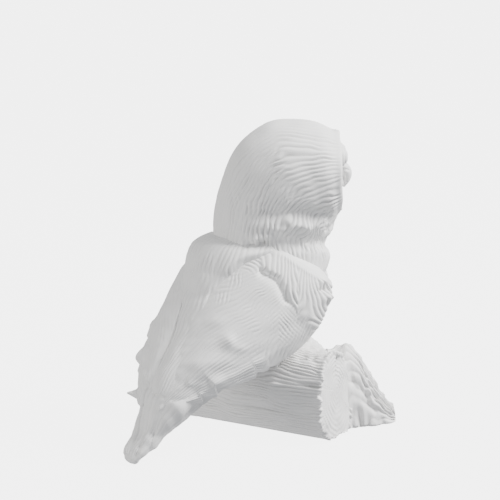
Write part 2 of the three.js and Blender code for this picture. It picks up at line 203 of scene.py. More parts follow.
def rail_grid(rows, t, columns, power=2.0):
    """A loft between a belly edge and a back edge: each section is a superellipse, with one diameter from
    edge to edge and the other the full width. Above power 2 the section squares up."""
    v = through(rows, t)
    low, high, half = v[:, 0:2], v[:, 2:4], v[:, 4:5]
    angle = 2 * np.pi * np.arange(columns) / columns
    side = np.sign(np.cos(angle)) * np.abs(np.cos(angle)) ** (2 / power)
    rise = np.sign(np.sin(angle)) * np.abs(np.sin(angle)) ** (2 / power)
    middle, arm = (low + high) / 2, (high - low) / 2
    flat = middle[:, None] + arm[:, None] * rise[None, :, None]
    return np.stack([half * side[None], -flat[..., 0], flat[..., 1]], -1)


def with_ends(grid, first=(), last=()):
    """Adds rounding rings beyond a grid's two ends. Each ring is (share, push): the end row drawn in to that
    share of its size about its middle and pushed out along the loft."""
    def rings(end, inner, steps):
        """The rings beyond one end, by the direction from a row a little way in."""
        middle = end.mean(axis=0)
        out = middle - inner.mean(axis=0)
        out /= np.linalg.norm(out)
        return [middle + (end - middle) * share + out * push for share, push in steps]
    before = rings(grid[0], grid[3], first)[::-1]
    after = rings(grid[-1], grid[-4], last)
    return np.stack([*before, *grid, *after])


def turned(points, degrees, pivot=0.0):
    """Points turned about a vertical axis at x = 0, y = pivot."""
    c, s = np.cos(np.radians(degrees)), np.sin(np.radians(degrees))
    x, y = points[..., 0], points[..., 1] - pivot
    return np.stack([x * c - y * s, x * s + y * c + pivot, points[..., 2]], -1)


def make_piece(name, vertices, faces, relief=None):
    """A smooth-shaded mesh object from numpy arrays in millimetres, with an optional vertex attribute that
    says how high each point stands in the carving. The faces are turned outward: their fans of triangles,
    taken with the origin, have to add up to a positive volume."""
    volume = sum((vertices[f[:, 0]] * np.cross(vertices[f[:, k - 1]], vertices[f[:, k]])).sum()
                 for f in faces for k in range(2, f.shape[1]))
    if volume < 0:
        faces = [f[:, ::-1] for f in faces]
    mesh = bpy.data.meshes.new(name)
    mesh.from_pydata((vertices * MM).tolist(), [], [corners for f in faces for corners in f.tolist()])
    mesh.polygons.foreach_set("use_smooth", np.ones(len(mesh.polygons), bool))
    if relief is not None:
        attribute = mesh.attributes.new("relief", "FLOAT", "POINT")
        attribute.data.foreach_set("value", relief.astype(np.float32))
    mesh.update()
    piece = bpy.data.objects.new(name, mesh)
    bpy.context.collection.objects.link(piece)
    return piece


def grid_arrays(grid, relief=None, start=0):
    """Vertices, faces and relief of a grid closed round its columns, with a pole vertex closing each end."""
    rows, columns = grid.shape[:2]
    vertices = np.concatenate([grid.reshape(-1, 3), grid[0].mean(0)[None], grid[-1].mean(0)[None]])
    here = np.arange(columns)
    beside = (here + 1) % columns
    row = columns * np.arange(rows)[:, None]
    quads = np.stack([row[:-1] + here, row[:-1] + beside, row[1:] + beside, row[1:] + here], -1)
    quads = quads.reshape(-1, 4)
    pole = np.full(columns, rows * columns)
    fans = np.concatenate([np.stack([pole, beside, here], -1),
                           np.stack([pole + 1, row[-1] + here, row[-1] + beside], -1)])
    height = np.zeros(len(vertices))
    if relief is not None:
        height[:rows * columns] = relief.ravel()
    return vertices, quads + start, fans + start, height


def grid_piece(name, grid, relief=None):
    """One object from one closed grid."""
    vertices, quads, fans, height = grid_arrays(grid, relief)
    return make_piece(name, vertices, [quads, fans], height)


def joined_piece(name, grids):
    """One object from several closed grids."""
    parts, start = [], 0
    for grid in grids:
        parts.append(grid_arrays(grid, start=start))
        start += len(parts[-1][0])
    return make_piece(name, np.concatenate([p[0] for p in parts]),
                      [np.concatenate([p[1] for p in parts]), np.concatenate([p[2] for p in parts])])


# ---------------------------------------------------------------------------------------------
# Materials
# ---------------------------------------------------------------------------------------------
class Value:
    """A number socket that can be used in Python arithmetic. Each operation adds a Math node."""

    def __init__(self, paint, socket):
        self.paint, self.socket = paint, socket

    def _math(self, operation, *others):
        node = self.paint.tree.nodes.new("ShaderNodeMath")
        node.operation = operation
        for slot, item in zip(node.inputs, others):
            if isinstance(item, Value):
                self.paint.tree.links.new(item.socket, slot)
            else:
                slot.default_value = item
        return Value(self.paint, node.outputs[0])

    def __add__(self, other): return self._math("ADD", self, other)
    def __radd__(self, other): return self._math("ADD", other, self)
    def __sub__(self, other): return self._math("SUBTRACT", self, other)
    def __rsub__(self, other): return self._math("SUBTRACT", other, self)
    def __mul__(self, other): return self._math("MULTIPLY", self, other)
    def __rmul__(self, other): return self._math("MULTIPLY", other, self)
    def clamp(self): return self._math("MINIMUM", self._math("MAXIMUM", self, 0.0), 1.0)


class Paint:
    """A node material with one Principled surface."""

    def __init__(self, name, **constants):
        self.material = bpy.data.materials.new(name)
        self.material.use_nodes = True
        self.tree = self.material.node_tree
        self.surface = self.tree.nodes["Principled BSDF"]
        for socket, value in constants.items():
            self.surface.inputs[socket.replace("_", " ")].default_value = value
        self.place = self.node("ShaderNodeTexCoord").outputs["Object"]

    def node(self, kind, settings=None, sockets=None):
        """A node of a type, its settings set first, then its sockets' values or links."""
        node = self.tree.nodes.new(kind)
        for key, value in (settings or {}).items():
            setattr(node, key, value)
        for key, value in (sockets or {}).items():
            if isinstance(value, Value):
                value = value.socket
            if isinstance(value, bpy.types.NodeSocket):
                self.tree.links.new(value, node.inputs[key])
            else:
                node.inputs[key].default_value = value
        return node

    def noise(self, scale, detail=3.0, roughness=0.55):
        """Noise from 0 to 1 with a number of cells per metre."""
        node = self.node("ShaderNodeTexNoise", {"noise_dimensions": "3D"},
                         {"Vector": self.place, "Scale": scale, "Detail": detail, "Roughness": roughness})
        return Value(self, node.outputs["Fac"])

    def attribute(self, name):
        """A vertex attribute as a number."""
        node = self.node("ShaderNodeAttribute", {"attribute_name": name})
        return Value(self, node.outputs["Fac"])

    def blend(self, share, first, second):
        """A colour between two, by a share from 0 to 1."""
        node = self.node("ShaderNodeMix", {"data_type": "RGBA"}, {"Factor": share, "A": first, "B": second})
        return node.outputs["Result"]

    def finish(self, color, roughness=None, height=None, distance=0.0002, strength=0.5):
        """Links colour, roughness and bump height to the surface, and returns the material."""
        self.tree.links.new(color, self.surface.inputs["Base Color"])
        if roughness is not None:
            self.tree.links.new(roughness.socket, self.surface.inputs["Roughness"])
        if height is not None:
            bump = self.node("ShaderNodeBump", None,
                             {"Height": height, "Distance": distance, "Strength": strength})
            self.tree.links.new(bump.outputs["Normal"], self.surface.inputs["Normal"])
        return self.material


def cast_resin(name, pale=(0.83, 0.825, 0.81, 1), shade_and_cloud_tone=(0.60, 0.595, 0.58, 1), grain=0.5, sheen_rough=0.74):
    """Matt cast resin: a faint cloudy tone, fine grain and pin pores, and painted shade that darkens the
    hollows of the carving, where the relief attribute is below 0."""
    paint = Paint(name, Metallic=0.0, Specular_IOR_Level=0.28)
    clouds = paint.noise(38, 4)
    specks = paint.noise(900, 2)
    pores = (paint.noise(420, 1) - 0.66) * 9.0
    # Painted shade: where the carving dips below 0, the colour is pulled towards the darker tone, which also
    # carries the random cloudy tone and specks
    hollow = (0.0 - paint.attribute("relief")) * 0.75
    cloud_tone_and_groove_shade = (hollow + (clouds - 0.5) * 0.8 + (specks - 0.5) * 0.25).clamp()
    rough = sheen_rough + (clouds - 0.5) * 0.12 + cloud_tone_and_groove_shade * 0.1
    height = specks * 0.6 + paint.noise(260, 4) * 0.8 - pores.clamp() * 0.9
    return paint.finish(paint.blend(cloud_tone_and_groove_shade, pale, shade_and_cloud_tone), rough, height, distance=0.00018, strength=grain)


def brushed_steel():
    """Drawn steel rod: fine lengthwise scratches and a faint tarnish."""
    paint = Paint("drawn_steel", Metallic=1.0)
    scratch = paint.noise(1400, 2)
    tarnish = paint.noise(60, 3)
    tone = paint.blend(tarnish, (0.62, 0.63, 0.65, 1), (0.47, 0.47, 0.47, 1))
    return paint.finish(tone, 0.28 + scratch * 0.18 + tarnish * 0.1, scratch, distance=0.00005, strength=0.35)


def pressed_felt():
    """Grey pressed felt: matted fibres as two noises of fibre size."""
    paint = Paint("pressed_felt", Metallic=0.0, Roughness=1.0)
    fibre = paint.noise(1300, 5, 0.7)
    mat = paint.noise(240, 3)
    tone = paint.blend((fibre * 0.7 + mat * 0.3).clamp(), (0.20, 0.205, 0.215, 1), (0.40, 0.41, 0.42, 1))
    return paint.finish(tone, None, fibre + mat * 0.5, distance=0.0005, strength=0.8)


# Each resin's darker colour serves both its random cloudy tone and the painted shade in the hollows of its
# carving
RESIN = cast_resin("cast_feathers")
RESIN_BARK = cast_resin("cast_bark", pale=(0.84, 0.83, 0.815, 1), shade_and_cloud_tone=(0.55, 0.545, 0.53, 1), grain=0.7)
RESIN_SMOOTH = cast_resin("cast_horn", pale=(0.80, 0.795, 0.785, 1), shade_and_cloud_tone=(0.72, 0.71, 0.70, 1), grain=0.25,
                          sheen_rough=0.6)


def settle(piece, material, *nodes):
    """Gives a piece its material and its body, and hides the CAD nodes it stands for."""
    piece.data.materials.append(material)
    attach(piece, "root")
    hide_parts(*nodes)
    return piece


# ---------------------------------------------------------------------------------------------
# Camera, floor and light
# ---------------------------------------------------------------------------------------------
def place_camera():
    """Sets the camera on a sphere round the figurine's middle, shifted in its own plane. Azimuth 0 looks at
    the owl's front. Returns the directions to the right of the view and back from it."""
    a, e = np.radians(CAMERA["azimuth"]), np.radians(CAMERA["elevation"])
    back = Vector((np.sin(a) * np.cos(e), -np.cos(a) * np.cos(e), np.sin(e)))
    right = Vector((np.cos(a), np.sin(a), 0))
    up = back.cross(right)
    data = bpy.data.cameras.new("camera")
    data.lens, data.sensor_width = CAMERA["lens"], CAMERA["sensor"]
    camera = bpy.data.objects.new("camera", data)
    bpy.context.collection.objects.link(camera)
    camera.location = (Vector((0, 0, CAMERA["aim_height"])) - right * CAMERA["shift_left"]
                       + up * CAMERA["shift_up"] + back * CAMERA["distance"])
    camera.rotation_euler = back.to_track_quat("Z", "Y").to_euler()
    bpy.context.scene.camera = camera
    return right, back


def area_light(name, at, aim, size, power, color):
    """A round area light at a place, turned to shine at another."""
    data = bpy.data.lights.new(name, "AREA")
    data.shape, data.size, data.energy, data.color = "DISK", size, power, color
    light = bpy.data.objects.new(name, data)
    bpy.context.collection.objects.link(light)
    light.location = at
    light.rotation_euler = (Vector(at) - Vector(aim)).to_track_quat("Z", "Y").to_euler()


def make_stage():
    """The camera, a bright floor that only the camera sees, a dim even sky, and three lights: a key above on
    the right, a warm fill low on the left, and a faint bounce from below."""
    right, back = place_camera()
    floor_z = cad_box[0][2] - FLOOR["drop"]
    size = FLOOR["half_size"]
    corners = [(-size, -size, floor_z), (size, -size, floor_z), (size, size, floor_z), (-size, size, floor_z)]
    mesh = bpy.data.meshes.new("floor")
    mesh.from_pydata(corners, [], [(0, 1, 2, 3)])
    floor = bpy.data.objects.new("floor", mesh)
    bpy.context.collection.objects.link(floor)
    paint = Paint("floor_paint", Roughness=1.0, Specular_IOR_Level=0.0, Emission_Color=(1, 1, 1, 1),
                  Emission_Strength=FLOOR["glow"])
    tone = paint.blend(paint.noise(2.0), (0.08, 0.08, 0.08, 1), (0.09, 0.09, 0.09, 1))
    floor.data.materials.append(paint.finish(tone))
    floor.visible_diffuse = floor.visible_glossy = floor.visible_shadow = False
    world = bpy.data.worlds.new("studio")
    world.use_nodes = True
    sky = world.node_tree.nodes["Background"].inputs
    sky["Color"].default_value = (0.93, 0.95, 1.0, 1)
    sky["Strength"].default_value = WORLD_LIGHT
    bpy.context.scene.world = world
    middle = (0, 0.02, 0.10)
    key = Vector(middle) + right * 0.95 + Vector((0, 0, 0.95)) + back * 0.15
    fill = Vector(middle) - right * 1.2 + Vector((0, 0, 0.15)) + back * 0.35
    bounce = Vector(middle) - right * 0.4 - Vector((0, 0, 0.7)) + back * 0.8
    area_light("key", key, middle, 0.5, 52.0, (1.0, 0.995, 0.99))
    area_light("fill", fill, middle, 0.9, 8.0, (1.0, 0.97, 0.91))
    area_light("bounce", bounce, middle, 0.9, 1.3, (0.97, 0.985, 1.0))


# ---------------------------------------------------------------------------------------------
# The owl
# ---------------------------------------------------------------------------------------------
def head_piece():
    """The head loft, carved with strokes that run from the face back over the crown and down the nape, and
    that split into finer ones on the way. A waist and a collar run under the cheeks, the collar ends in a
    twisted tuft on each side, and the rim round the face rolls over into the pocket of the disc."""
    columns = 640
    t = np.linspace(0, 1, 144) ** 1.15
    grid = rail_grid(HEAD_ROWS, t, columns)
    tt = t[:, None]
    turn = np.arange(columns)[None] / columns
    x, forward, z = grid[..., 0], -grid[..., 1], grid[..., 2]
    front, up = forward + 1.2, RISE * (z - MAP_HEIGHT) - HEAD_DROP * (np.abs(x) + 2.8)

    def lines(count, along, seed, wander, even):
        """Strokes along the loft, with a count round it."""
        return strokes(turn * count, ring_place(columns, count, tt * along), seed, wander, even)

    # Strokes: coarse ones by the face, finer ones with hair between them over the crown and down the nape
    coarse = lines(58, 12, 11, 1.3, 0.45)
    fine, hair = lines(88, 15, 17, 1.2, 0.3), lines(124, 19, 27, 1.4, 0.2)
    swap = smooth(tt + 0.12 * noise(grid / 14, 19), 0.2, 0.42)
    upper = coarse * (1 - swap) + (0.92 * fine + 0.45 * hair) * swap
    lower = lines(74, 16, 23, 0.9, 0.35)
    below = smooth(53 + 2.5 * noise(grid / 9, 5) - up, -1.5, 1.5) * smooth(forward, -30, -8)
    carve = upper * (1 - below) + lower * below
    lift = np.sin(2 * np.pi * turn)
    crown = smooth(lift, 0.45, 0.95) * smooth(tt, 0.03, 0.2)
    rear = smooth(tt, 0.25, 0.5)
    quiet = smooth(noise(grid / 24, 29), -0.3, 0.6)
    depth = 0.62 - 0.30 * crown - 0.02 * rear * (1 - crown)
    depth = depth * (1 - 0.35 * quiet * (1 - below)) * (0.2 + 0.8 * smooth(tt, 0.0, 0.055))
    depth = depth * (1 - 0.75 * (1 - smooth(up, 20, 27)) * smooth(forward, 0, 14))
    # Larger forms, by height on the flat map
    cheek = smooth(forward, -34, -4)
    ragged = up + 1.8 * noise(grid / 8, 33)
    waist = -2.5 * hill(ragged, 53, 5.0) * cheek * smooth(tt, 0.05, 0.16)
    collar = 2.3 * hill(ragged, 44, 5.0) * cheek * (0.8 + 0.7 * noise(grid / 6, 31))
    tuck = -1.6 * hill(up, 33, 5) * cheek
    hem = 1.2 * hill(up, 24, 5) * (0.7 + 0.6 * noise(grid / 8, 37))
    tuft = (4.2 * spot(front, up, (-10, 36), (5, 3.6)) - 4.0 * spot(front, up, (-6.5, 33), (2.4, 1.8))
            + 3.2 * spot(front, up, (-18, 33), (4, 3)) - 2.2 * spot(front, up, (-14, 30.5), (1.8, 1.6))
            + 2.4 * spot(front, up, (-2, 37), (3, 2.4)))
    peak = 1.3 * hill(lift, 1, 0.02) * hill(tt, 0.0, 0.02)
    rim = 0.8 * hill(tt, 0.0, 0.025)
    swell = 1.2 * noise(grid / 26, 41) + 0.8 * noise(grid / 12, 43) * (1 - 0.6 * crown)
    height = carve * depth + waist + collar + tuck + hem + tuft + peak + rim + swell
    grid = grid + grid_normals(grid) * height[..., None]
    relief = carve * depth / 0.5
    rolled = [(0.985, 0.9), (0.955, 1.2), (0.925, 0.8), (0.905, -0.4), (0.89, -2.5), (0.88, -5.0)]
    closing = [(0.9, 1.0), (0.5, 1.4)]
    full = with_ends(grid, rolled, closing)
    relief = np.concatenate([np.zeros((len(rolled), columns)), relief, np.zeros((len(closing), columns))])
    piece = grid_piece("head", turned(full, HEAD_TURN, HEAD_PIVOT), relief)
    return settle(piece, RESIN, "head_casting")


def from_face(points):
    """Points given as across, up and out of the face, moved to their place on the turned head."""
    lean = np.radians(DISC["lean"])
    across, up, out = points[..., 0], points[..., 1], points[..., 2]
    forward = DISC["back"] + out * np.cos(lean) - up * np.sin(lean)
    height = DISC["height"] + up * np.cos(lean) + out * np.sin(lean)
    return turned(np.stack([across, -forward, height], -1), HEAD_TURN, HEAD_PIVOT)


def disc_piece():
    """The facial disc: an oval plate with a raised rim, a bowl round each eye carved with rays, lids as a
    raised ring, and a ridge that widens from the beak up to the brow."""
    rings, columns = 150, 420
    share = np.linspace(1, 0.004, rings)[:, None]
    angle = 2 * np.pi * np.arange(columns)[None] / columns
    across = 1.05 * DISC["half_width"] * share * np.cos(angle)
    up = 1.09 * DISC["half_height"] * share * np.sin(angle)
    eye_up = EYE["z"] - DISC["height"]
    side = np.where(across < 0, -1, 1)
    dx, dy = across - side * EYE["x"], up - eye_up + 0.4
    reach = np.hypot(dx, dy * 1.05)
    bearing = np.arctan2(dy, dx * side)
    place = map_place(across, up, 4)
    rays = np.cos(44 * bearing + 1.6 * noise(place, 51)) * smooth(reach, 8.6, 11)
    rays = rays * (0.45 + 0.55 * noise(place * 1.6, 53))
    bowl = -2.6 * hill(reach, 14, 6.5)
    lids = 1.9 * hill(reach, 8.7, 1.4) * (1 + 0.25 * np.sin(2 * bearing))
    ridge = 5.2 * hill(across, 0, 4.4 + 1.8 * smooth(up, 0, 20)) * smooth(up, -16, -6)
    ridge = ridge * (1 - 0.8 * smooth(up, 12, 22))
    barbs = 0.35 * np.cos(2 * np.pi * up / 2.3 + np.abs(across) * 0.7)
    barbs = barbs * hill(across, 0, 5) * smooth(up, -2, 6)
    beard = 1.5 * hill(across, 0, 9) * hill(up, -14, 5)
    dome = 5.6 - 3.0 * share**2
    rim = 1.9 * hill(share, 0.915, 0.035) - 1.2 * smooth(share, 0.94, 1.0)
    out = dome + bowl + lids + ridge + barbs + beard + rim + 0.33 * rays * (1 - hill(across, 0, 4))
    front = np.stack([across, up, out], -1)
    edge = [front[:1] * (1, 1, 0) + (0, 0, h) for h in (0.3, 1.4, 2.6)]
    back = front[:1] * (0.9, 0.9, 0)
    grid = np.concatenate([back, *edge, front])
    relief = np.concatenate([np.zeros((4, columns)), rays * 0.6])
    return settle(grid_piece("facial_disc_carved", from_face(grid), relief), RESIN, "facial_disc")


def eye_piece(side, name):
    """A domed eye: a sphere with a shallow groove round the iris and a dimple for the pupil."""
    rows, columns = 90, 96
    polar = np.linspace(0.01, np.pi - 0.01, rows)[:, None]
    turn = 2 * np.pi * np.arange(columns)[None] / columns
    radius = EYE["radius"] - 0.45 * hill(polar, 0.78, 0.07) - 0.5 * (1 - smooth(polar, 0.26, 0.36))
    forward = EYE["forward"] + radius * np.cos(polar) + 0 * turn
    ball = np.stack([side * EYE["x"] + radius * np.sin(polar) * np.cos(turn), -forward,
                     EYE["z"] + radius * np.sin(polar) * np.sin(turn)], -1)
    return settle(grid_piece(f"{name}_dome", turned(ball, HEAD_TURN, HEAD_PIVOT)), RESIN_SMOOTH, name)


def tube_grid(path, radii, rows, columns, wave=0.0, waves=0):
    """A round tube along a smooth path: circles square to it, with a radius that runs through a list. A wave
    count raises that many scutes across its upper side."""
    t = np.linspace(0, 1, rows)
    centre = through(path, t)
    radius = through(np.asarray(radii, float)[:, None], t)
    tangent = np.gradient(centre, axis=0)
    tangent /= np.linalg.norm(tangent, axis=1, keepdims=True)
    side = np.cross(tangent, (0.15, 0.05, 1.0))
    side /= np.linalg.norm(side, axis=1, keepdims=True)
    top = np.cross(side, tangent)
    angle = 2 * np.pi * np.arange(columns) / columns
    cos, sin = np.cos(angle)[None, :, None], np.sin(angle)[None, :, None]
    scute = 1 + wave * np.abs(np.sin(np.pi * waves * t))[:, None, None] * (sin > -0.2)
    return centre[:, None] + radius[:, :, None] * scute * (cos * side[:, None] + sin * top[:, None])


def beak_piece():
    """A short hooked beak: a tapered tube with a keel down its front and a nostril dimple each side."""
    path = [(0, -44.5, 191.5), (0, -48.5, 189.5), (0, -51.8, 185.5), (0, -52.3, 180.5), (0, -50, 175)]
    grid = tube_grid(path, [2.8, 3.8, 3.6, 2.2, 0.5], 90, 72)
    normal = grid_normals(grid)
    x, z = grid[..., 0], grid[..., 2]
    keel = 0.5 * hill(x, 0, 0.9) * smooth(-grid[..., 1], 49, 51)
    nostril = -0.8 * np.exp(-((np.abs(x) - 3.2) ** 2 + (z - 187.5) ** 2) / 0.9)
    grid = grid + normal * (keel + nostril)[..., None]
    return settle(grid_piece("beak_hook", turned(grid, HEAD_TURN, HEAD_PIVOT)), RESIN_SMOOTH, "beak")


def body_piece():
    """The body loft: scalloped breast feathers in front, and a finely carved back raised to fill the space up
    to the upper edges of the wings, with a shallow valley between them."""
    columns, count = 560, 92
    t = np.linspace(0, 1, 165)
    grid = rail_grid(BODY_ROWS, t, columns)
    along = (t * 11)[:, None]
    where = ring_place(columns, count, along)
    around = np.arange(columns)[None] / columns * count
    row = 9 * t
    lift = np.sin(2 * np.pi * np.arange(columns) / columns)[None] + 0 * t[:, None]
    front = smooth(-lift, -0.1, 0.5) * (1 - smooth(t[:, None], 0.62, 0.8))
    back = smooth(lift, 0.2, 0.7)
    # Breast feathers in staggered rows: each rises to its rounded tip and drops, and reaches into a second row
    course = along * 1.25
    scallop = 0 * lift
    for step in (0, 1):
        first = np.floor(course) - step
        a = (around / 4.0 + 0.5 * (first % 2)) % 1.0 - 0.5
        share = (course - first) / (1.75 - 4.2 * a**2)
        scallop = np.maximum(scallop, np.clip(share, 0, 1) ** 1.3 * smooth(1 - share, 0.0, 0.07))
    carve = strokes(around, where, 61, even=0.3)
    fill = np.interp(row, range(10), (9, 10.5, 8, 7.5, 8.2, 9.4, 10.5, 10.5, 10, 9))[:, None]
    half = np.interp(row, range(10), (37, 32, 24, 18, 16, 13.5, 12.5, 12, 12, 12))[:, None]
    half = half - 9 * smooth(-grid[..., 0], 0, 8) * (smooth(row, 0.4, 1.4) - smooth(row, 2.6, 4.2))[:, None]
    wide = np.abs(grid[..., 0])
    mantle = fill * back * (1 - smooth(wide, half - 2, half + 6))
    valley = -((0.8 + 3.6 * smooth(row, 4.6, 6.6)) * smooth(row, 2, 4))[:, None]
    valley = valley * hill(grid[..., 0], 2.5, 5.5) * back
    depth = 0.30 * (1 - back) + 0.22 * back + 0.1 * front
    flat_a, flat_b = side_view(-grid[..., 0], -grid[..., 1], grid[..., 2])
    groups = sum(patch(flat_a, flat_b, at, (5.5, tall))
                 for at, tall in (((-25, 8), 6.0), ((-40, 13), 6.5), ((-34, -5), 5.0)))
    upright = strokes((flat_a - 0.28 * flat_b) / 2.6, map_place(flat_a, flat_b, 4), 71, 0.2, 0.9)
    tufts = 0.40 * groups * back * upright
    swell = 0.8 * noise(grid / 18, 67) + 0.8 * back * noise(grid / 9, 69)
    height = carve * depth + tufts + 1.6 * scallop * front + mantle + valley + swell
    grid = grid + grid_normals(grid) * height[..., None]
    relief = carve * depth / 0.4 + tufts / 0.4 + (scallop - 0.4) * front
    return settle(grid_piece("body", grid, relief), RESIN, "body_casting")


def wing_strokes(a, b, t, s, length, seed):
    """The strokes of a wing on the flat map of its side: nested V strokes on the wrist pad that straighten
    towards the front, arcs that sweep back under the mantle edge, a fan of fine strokes down the blade,
    chevrons in its middle, groups of short upright strokes, and long parallel grooves near the lower edge.
    Returns the carving in millimetres and the share of the pad."""
    where = map_place(a, b, 4, seed)
    below_mantle = smooth(np.interp(a, *zip(*MANTLE)) - b, 0.5, 3.5)
    soft = 1.5 + 5 * smooth(-b, 2, 14)
    pad = smooth(a - np.interp(b, (-40, -22, -6, 2, 8, 13, 30), (38, 24, 11, 7.5, 3.5, -6, -9)), -soft, soft)
    out = np.abs(a - 17.5)
    nest = out / 2.9 - 0.17 * (b - 3) * np.exp(-(out / 8) ** 2) + 0.02 * a * (b + 6) / 4
    carving = 0.50 * pad * strokes(nest, where, seed + 5, 0.5, 0.75)
    sweep = (1 - pad) * smooth(b + 0.35 * a, 6, 13) * smooth(a, -30, -20)
    carving += 0.42 * sweep * strokes(np.hypot(a + 20, b - 7) / 2.7, where, seed + 7, 0.5, 0.5)
    blade = (1 - pad) * (1 - sweep)
    fan = np.arctan2(b - 26, 44 - a) * 25 + 0.4 * np.sin(t * 11)
    lines = (s * 0.5 + 0.5 * s * length / 75) * 26 + 0.5 * np.sin(t * 9)
    far = smooth(t, 0.46, 0.56)
    stretched = np.stack([s * length / 3, 0 * s + seed * 9, t * 13], -1)
    near_pad = 1 - smooth(t, 0.38, 0.66)
    upper = strokes(fan, stretched * (0.8, 1, 2.2), seed + 9, 1.0, 0.25)
    carving += blade * (1 - far) * (0.15 + 0.14 * near_pad) * upper
    low = smooth(0.42 - s, -0.12, 0.12)
    carving += blade * far * (0.16 + 0.14 * low) * strokes(lines, stretched, seed + 11, 0.6, 0.35)
    chevron = 0.8 * spot(a, b, (4, -22), (13, 10)) * blade
    angled = strokes(np.abs(a - 5) * 0.3 + b / 3.4, where, seed + 21, 0.5, 0.5)
    carving = carving * (1 - chevron) + 0.3 * chevron * angled
    groups = sum(patch(a, b, at, (5, tall))
                 for at, tall in (((-25, 8), 6.0), ((-40, 13), 5.5), ((-33, -4), 4.0)))
    carving += 0.36 * groups * strokes((a - 0.28 * b) / 2.6, where, seed + 13, 0.2, 0.9)
    return carving * below_mantle, pad


def wing_piece(side, name, seed, flares):
    """A wing: its outer face bulges between the lower and upper edges. It has a rolled mantle edge with a
    smooth shoulder above it, a wrist pad with a crease behind and two knuckles in front, a round bump,
    overlapping feathers that end in steps, a saw-toothed lower edge, and lifted feather tips, each given as a
    place along the wing, a place across it and a rise."""
    # Rows lie closer together over the wrist pad, where the strokes are finest
    t = np.concatenate([np.linspace(0, 0.42, 215, endpoint=False), np.linspace(0.42, 1, 165)])
    s = np.linspace(0, 1, 215)[None]
    v = through(WING_ROWS, t)
    low, high, bulge = v[:, 0:3], v[:, 3:6], v[:, 6:7]
    chord = high - low
    length = np.linalg.norm(chord, axis=1, keepdims=True)
    outward = np.cross(chord, np.gradient((low + high) / 2, t, axis=0))
    outward /= np.linalg.norm(outward, axis=1, keepdims=True)
    outward *= np.sign(outward[:, :1])
    tt = t[:, None] + 0 * s
    tooth = (t * 10.3 + 0.35 * np.sin(t * 23 + seed)) % 1.0
    tooth = tooth**1.4 * smooth(1 - tooth, 0, 0.16)
    nick = (4.6 * tooth * smooth(t, 0.40, 0.55) * (1 - smooth(t, 0.92, 1.0)))[:, None] / length

    def nicked(s):
        """Places across the wing, drawn in from the lower edge at each nick."""
        return s + nick * hill(s, 0, 0.16) * (1 - s)

    across = nicked(s)
    face = np.sin(np.pi * np.clip(across, 0, 1)) ** 0.75
    outer = low[:, None] + chord[:, None] * across[..., None] + outward[:, None] * (bulge * face)[..., None]
    a, b = side_view(outer[..., 0], outer[..., 1], outer[..., 2])
    carve, pad = wing_strokes(a, b, tt, s + 0 * tt, length, seed)

    # The mantle's rolled edge, the pad, its crease, the round bump and the swelling of the lower edge
    above = b - np.interp(a, *zip(*MANTLE))
    height = carve + 1.5 * hill(above, -0.5, 3.2) - 0.34 * np.clip(above - 1, 0, 14)
    height += 1.4 * pad * (1 - smooth(above, -4, 0)) * smooth(tt, 0.02, 0.1)
    height -= 2.6 * hill(line_distance(a, b, CREASE), 0.2, 2.8 + 0.8 * noise(map_place(a, b, 5), 3))
    height += 2.2 * spot(a, b, (-29, -33), (4.4, 4.6)) + 0.8 * spot(a, b, (-21, -38), (5, 3))
    height += 1.2 * spot(a, b, (-38, -20), (8, 5)) + 1.2 * hill(s, 0.15, 0.06) * smooth(tt, 0.25, 0.5)
    # Overlapping feathers, each by its centre across the wing, its tip along it and its width
    feathers = np.zeros_like(tt)
    for centre, tip, width in ((0.14, 0.80, 0.16), (0.36, 0.88, 0.17), (0.60, 0.95, 0.16), (0.80, 0.90, 0.16),
                               (0.93, 0.82, 0.1), (0.46, 0.74, 0.13)):
        end = tip + 0.03 * (1 - ((s - centre) / width) ** 2)
        quill = 1.7 * np.clip(1 - ((s - centre) / width) ** 2, 0, 1) ** 0.8
        vane = smooth(tt, tip - 0.24, tip - 0.03) * (1 - smooth(tt, end, end + 0.022))
        feathers = np.maximum(feathers, quill * vane)
    cell = np.stack([s * length / 9, 0 * tt + seed, tt * 13], -1)
    lumps = (1.2 * noise(cell, seed + 15) + 0.45 * noise(cell * 2.3, seed + 17)) * smooth(tt, 0.42, 0.8)
    lumps += 0.45 * noise(cell * (1.1, 1, 0.9), seed + 19) * smooth(tt, 0.2, 0.4)
    for at_t, at_s, rise in flares:
        before = smooth(tt, at_t - 0.06, at_t) * (1 - smooth(tt, at_t, at_t + 0.014))
        lumps = lumps + rise * before * hill(s, at_s, 0.14)
    height = (height + feathers + lumps) * smooth(s, 0, 0.05) * smooth(1 - s, 0, 0.04)
    outer = outer + outward[:, None] * height[..., None]
    knuckle = (3.4 * spot(a, b, (38, -5), (4, 3)) + 2.4 * spot(a, b, (34, 6.5), (3, 2.2))
               - 1.6 * spot(a, b, (35, 1), (3, 1.4)))
    outer = outer + knuckle[..., None] * (0.55, 0.83, 0.1)

    back_s = np.linspace(1, 0, 30)[None, 1:-1]
    skin = np.minimum(13.0, 0.9 * bulge)
    inner = (low[:, None] + chord[:, None] * nicked(back_s)[..., None]
             + outward[:, None] * ((bulge - skin) * np.sin(np.pi * back_s) ** 0.75)[..., None])
    grid = np.concatenate([outer, inner], 1) * (side, -1, 1)
    relief = np.concatenate([carve / 0.4, np.zeros(inner.shape[:2])], 1)
    ends = [(0.8, 0.8), (0.4, 1.2)]
    grid = with_ends(grid, ends, ends)
    relief = np.pad(relief, ((2, 2), (0, 0)))
    return settle(grid_piece(f"{name}_feathers", grid, relief), RESIN, name)


